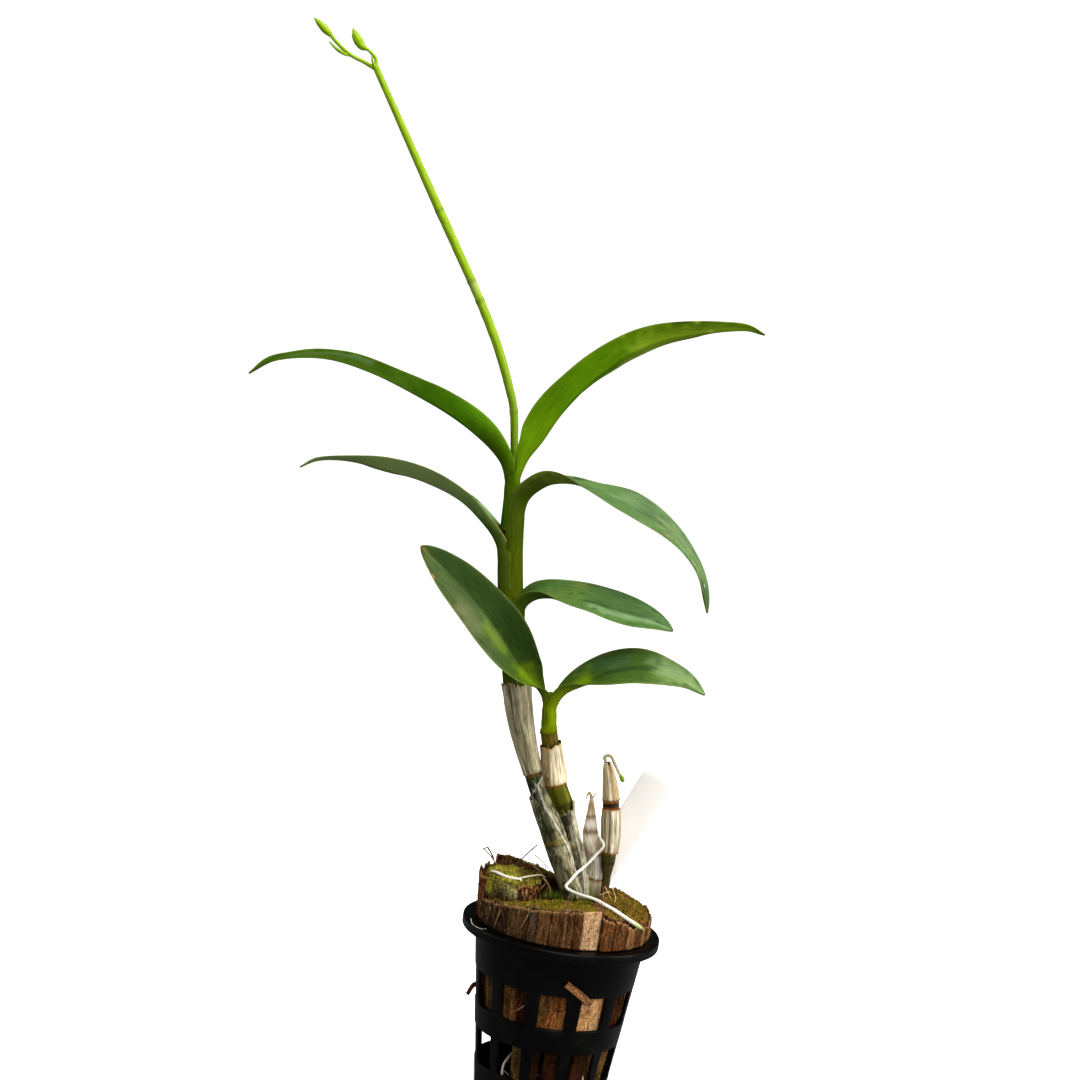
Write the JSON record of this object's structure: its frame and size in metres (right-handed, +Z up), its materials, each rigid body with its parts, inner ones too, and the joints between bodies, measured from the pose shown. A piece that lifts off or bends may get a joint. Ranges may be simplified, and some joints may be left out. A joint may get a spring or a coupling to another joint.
{
  "type": "dendrobium orchid in a net pot",
  "caption": "Young dendrobium orchid with leafy canes, papery sheaths, a budding flower spike and a plant label, rooted in coconut husk in a slotted black net pot.",
  "frame": {"origin": "centre of the pot's base, on the surface that it stands on", "axes": "+Z up along the pot's axis, +X to the side that the right-hand leaves point to, -Y to the front"},
  "size_m": [0.2224, 0.09, 0.4656],
  "materials": {
    "pot_plastic": "moulded, dusty",
    "husk_chips": "raw coconut husk, fibrous",
    "husk_blocks": "raw coconut husk, mossy on top",
    "green_cane": "waxy",
    "old_cane": "dry",
    "papery_sheath": "dry, papery, streaked",
    "leaf": "satin, waxy",
    "spike": "smooth, waxy",
    "root": "velvety, dry",
    "label_plastic": "thin, translucent"
  },
  "bodies": {
    "root": {"net_pot": "pot_plastic", "husk_chip_lower_a": "husk_chips", "husk_chip_lower_b": "husk_chips", "husk_chip_lower_c": "husk_chips", "husk_chip_lower_d": "husk_chips", "husk_chip_lower_e": "husk_chips", "husk_chip_lower_f": "husk_chips", "husk_chip_middle_a": "husk_chips", "husk_chip_middle_b": "husk_chips", "husk_chip_middle_c": "husk_chips", "husk_chip_middle_d": "husk_chips", "husk_chip_middle_e": "husk_chips", "husk_chip_middle_f": "husk_chips", "husk_chip_middle_g": "husk_chips", "husk_chip_middle_h": "husk_chips", "husk_chip_middle_i": "husk_chips", "husk_chip_middle_j": "husk_chips", "husk_chip_middle_k": "husk_chips", "husk_core": "husk_blocks", "husk_front_left": "husk_blocks", "husk_right": "husk_blocks", "husk_left": "husk_blocks", "husk_centre": "husk_blocks", "husk_back_left": "husk_blocks", "husk_back_right": "husk_blocks", "rhizome": "old_cane", "cane_main": "green_cane", "cane_short": "green_cane", "cane_old": "old_cane", "cane_tip": "old_cane", "sheath_main_lower": "papery_sheath", "sheath_main_upper": "papery_sheath", "sheath_short_lower": "papery_sheath", "sheath_short_upper": "papery_sheath", "sheath_old_middle": "papery_sheath", "sheath_old_upper": "papery_sheath", "sheath_tip": "papery_sheath", "dried_stalk": "old_cane", "leaf_top_left": "leaf", "leaf_top_right": "leaf", "leaf_second_left": "leaf", "leaf_second_right": "leaf", "leaf_third_right": "leaf", "leaf_short_left": "leaf", "leaf_short_right": "leaf", "flower_spike": "spike", "root_front": "root", "root_left": "root", "root_inner_left": "root", "root_inner_right": "root", "plant_label": "label_plastic"}
  },
  "joints": []
}
